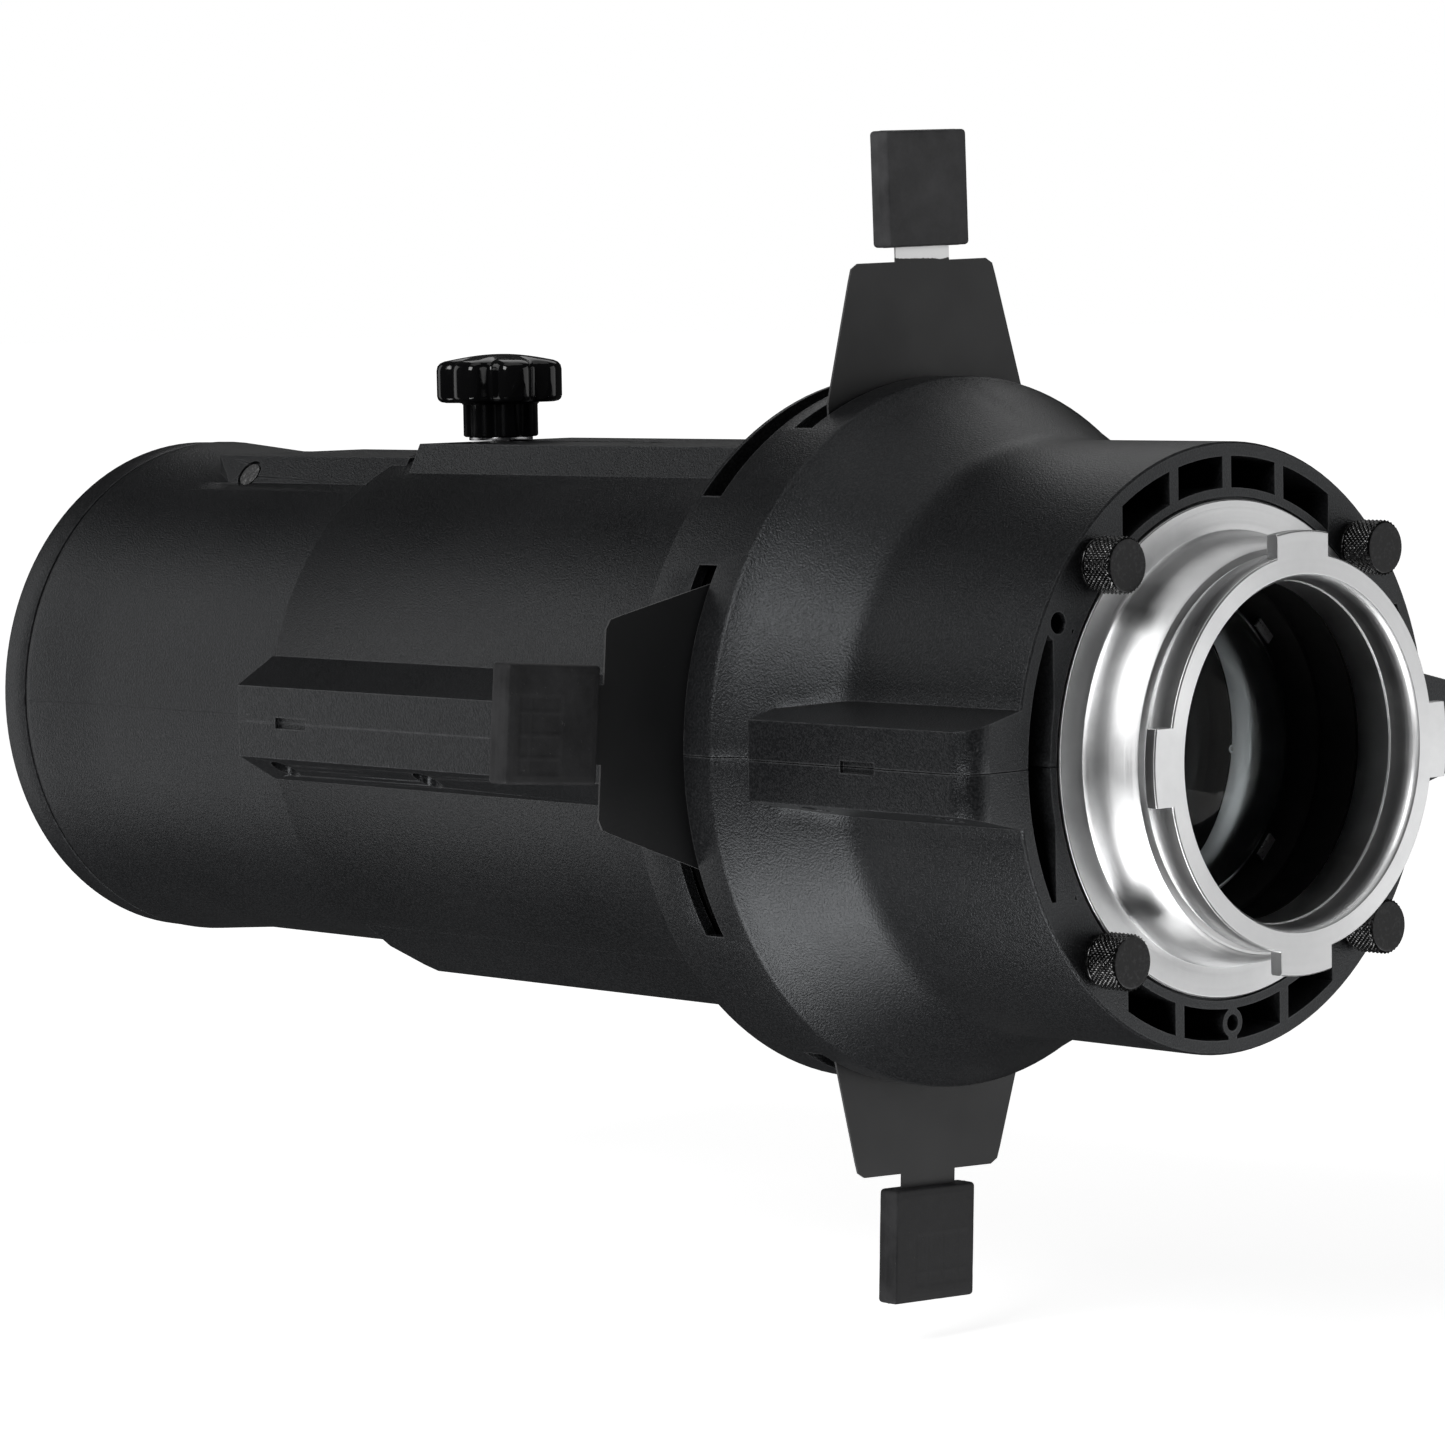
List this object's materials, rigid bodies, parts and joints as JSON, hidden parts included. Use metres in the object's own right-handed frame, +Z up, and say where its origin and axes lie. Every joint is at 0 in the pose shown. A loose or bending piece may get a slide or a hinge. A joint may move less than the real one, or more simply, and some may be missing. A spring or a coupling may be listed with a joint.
{
  "type": "ellipsoidal spotlight attachment",
  "caption": "Ellipsoidal spotlight head with framing shutters, focusing lens tube, pattern slot and a bayonet ring held by knurled screws.",
  "frame": {"origin": "middle of the bayonet ring's bore, on the light's axis", "axes": "+Y along the axis towards the bayonet end, -Y the way the light leaves, +Z up through the focus knob, +X the side shown nearest"},
  "size_m": [0.3579, 0.5088, 0.3566],
  "materials": {
    "housing_black": "fine moulded grain, matte",
    "blade_black": "satin black paint with bare worn edges",
    "grip_black": "dull, lightly dusty",
    "knob_black": "gloss",
    "screw_black": "black oxide, diamond knurl",
    "ring_aluminium": "fine turned",
    "inner_black": "flat heat-proof black",
    "glass": "polished",
    "steel": "plain",
    "brass": "plain"
  },
  "bodies": {
    "housing": {"rear_housing_upper": "housing_black", "rear_housing_lower": "housing_black", "tube_upper": "housing_black", "tube_lower": "housing_black", "front_rim": "housing_black", "ear_screws": "screw_black", "tube_screws": "screw_black", "front_screws": "screw_black", "gate_plate_front": "inner_black", "gate_plate_rear": "inner_black", "gate_posts": "inner_black", "gobo_guide": "inner_black", "light_baffle": "inner_black", "condenser_holder": "inner_black", "condenser_lens_rear": "glass", "condenser_lens_front": "glass", "condenser_spacer": "ring_aluminium", "condenser_clips": "steel"},
    "bayonet": {"bayonet_ring": "ring_aluminium"},
    "clamp_1": {"clamp_washer_1": "screw_black"},
    "screw_1": {"thumb_screw_1": "screw_black"},
    "clamp_2": {"clamp_washer_2": "screw_black"},
    "screw_2": {"thumb_screw_2": "screw_black"},
    "clamp_3": {"clamp_washer_3": "screw_black"},
    "screw_3": {"thumb_screw_3": "screw_black"},
    "clamp_4": {"clamp_washer_4": "screw_black"},
    "screw_4": {"thumb_screw_4": "screw_black"},
    "shoe_top": {"blade_shoe_top": "inner_black"},
    "blade_top": {"shutter_blade_top": "blade_black", "shutter_grip_top": "grip_black"},
    "shoe_near": {"blade_shoe_near": "inner_black"},
    "blade_near": {"shutter_blade_near": "blade_black", "shutter_grip_near": "grip_black"},
    "shoe_bottom": {"blade_shoe_bottom": "inner_black"},
    "blade_bottom": {"shutter_blade_bottom": "blade_black", "shutter_grip_bottom": "grip_black"},
    "shoe_far": {"blade_shoe_far": "inner_black"},
    "blade_far": {"shutter_blade_far": "blade_black", "shutter_grip_far": "grip_black"},
    "carriage": {"lens_carriage": "inner_black", "lens_front": "glass", "lens_rear": "glass", "lens_spacer": "inner_black", "lens_ring_front": "inner_black", "lens_ring_rear": "inner_black", "focus_nut": "brass"},
    "focus_clamp": {"focus_washer": "steel"},
    "focus_handle": {"focus_knob": "knob_black", "focus_stud": "steel"}
  },
  "joints": [
    {"name": "bayonet_turn", "type": "hinge", "parent": "housing", "child": "bayonet", "pos_m": [0, 0, 0], "axis": [0, 1, 0], "continuous": true},
    {"name": "screw_1_travel", "type": "slide", "parent": "housing", "child": "clamp_1", "axis": [0, 1, 0], "range_m": [0, 0.00145]},
    {"name": "screw_1_turn", "type": "hinge", "parent": "clamp_1", "child": "screw_1", "pos_m": [0.0558, -0.0104, 0.0558], "axis": [0, 1, 0], "range_deg": [0, 720]},
    {"name": "screw_2_travel", "type": "slide", "parent": "housing", "child": "clamp_2", "axis": [0, 1, 0], "range_m": [0, 0.00145]},
    {"name": "screw_2_turn", "type": "hinge", "parent": "clamp_2", "child": "screw_2", "pos_m": [-0.0558, -0.0104, 0.0558], "axis": [0, 1, 0], "range_deg": [0, 720]},
    {"name": "screw_3_travel", "type": "slide", "parent": "housing", "child": "clamp_3", "axis": [0, 1, 0], "range_m": [0, 0.00145]},
    {"name": "screw_3_turn", "type": "hinge", "parent": "clamp_3", "child": "screw_3", "pos_m": [0.0558, -0.0104, -0.0558], "axis": [0, 1, 0], "range_deg": [0, 720]},
    {"name": "screw_4_travel", "type": "slide", "parent": "housing", "child": "clamp_4", "axis": [0, 1, 0], "range_m": [0, 0.00145]},
    {"name": "screw_4_turn", "type": "hinge", "parent": "clamp_4", "child": "screw_4", "pos_m": [-0.0558, -0.0104, -0.0558], "axis": [0, 1, 0], "range_deg": [0, 720]},
    {"name": "top_blade_tilt", "type": "hinge", "parent": "housing", "child": "shoe_top", "pos_m": [0, -0.1321, 0], "axis": [0, 1, 0], "range_deg": [-6.7, 3.9]},
    {"name": "top_blade_slide", "type": "slide", "parent": "shoe_top", "child": "blade_top", "axis": [0.0244, 0, 0.9997], "range_m": [-0.0383, 0.014]},
    {"name": "near_blade_tilt", "type": "hinge", "parent": "housing", "child": "shoe_near", "pos_m": [0, -0.1321, 0], "axis": [0, 1, 0], "range_deg": [-0.8, 9.8]},
    {"name": "near_blade_slide", "type": "slide", "parent": "shoe_near", "child": "blade_near", "axis": [0.9969, 0, 0.0785], "range_m": [-0.0344, 0.014]},
    {"name": "bottom_blade_tilt", "type": "hinge", "parent": "housing", "child": "shoe_bottom", "pos_m": [0, -0.1321, 0], "axis": [0, 1, 0], "range_deg": [-2.9, 7.7]},
    {"name": "bottom_blade_slide", "type": "slide", "parent": "shoe_bottom", "child": "blade_bottom", "axis": [0.0419, 0, -0.9991], "range_m": [-0.0307, 0.014]},
    {"name": "far_blade_tilt", "type": "hinge", "parent": "housing", "child": "shoe_far", "pos_m": [0, -0.1321, 0], "axis": [0, 1, 0], "range_deg": [-5.3, 5.3]},
    {"name": "far_blade_slide", "type": "slide", "parent": "shoe_far", "child": "blade_far", "axis": [-1, 0, 0], "range_m": [-0.036, 0.014]},
    {"name": "focus_slide", "type": "slide", "parent": "housing", "child": "carriage", "axis": [0, 1, 0], "range_m": [-0.01, 0.075]},
    {"name": "focus_lift", "type": "slide", "parent": "carriage", "child": "focus_clamp", "axis": [0, 0, 1], "range_m": [0, 0.00105]},
    {"name": "focus_knob_turn", "type": "hinge", "parent": "focus_clamp", "child": "focus_handle", "pos_m": [0, -0.3295, 0.0866], "axis": [0, 0, 1], "range_deg": [0, 360]}
  ],
  "couplings": [
    {"joint": "screw_1_travel", "follows": "screw_1_turn", "m_per_rad": 0.00011141},
    {"joint": "screw_2_travel", "follows": "screw_2_turn", "m_per_rad": 0.00011141},
    {"joint": "screw_3_travel", "follows": "screw_3_turn", "m_per_rad": 0.00011141},
    {"joint": "screw_4_travel", "follows": "screw_4_turn", "m_per_rad": 0.00011141},
    {"joint": "focus_lift", "follows": "focus_knob_turn", "m_per_rad": 0.00015915}
  ]
}
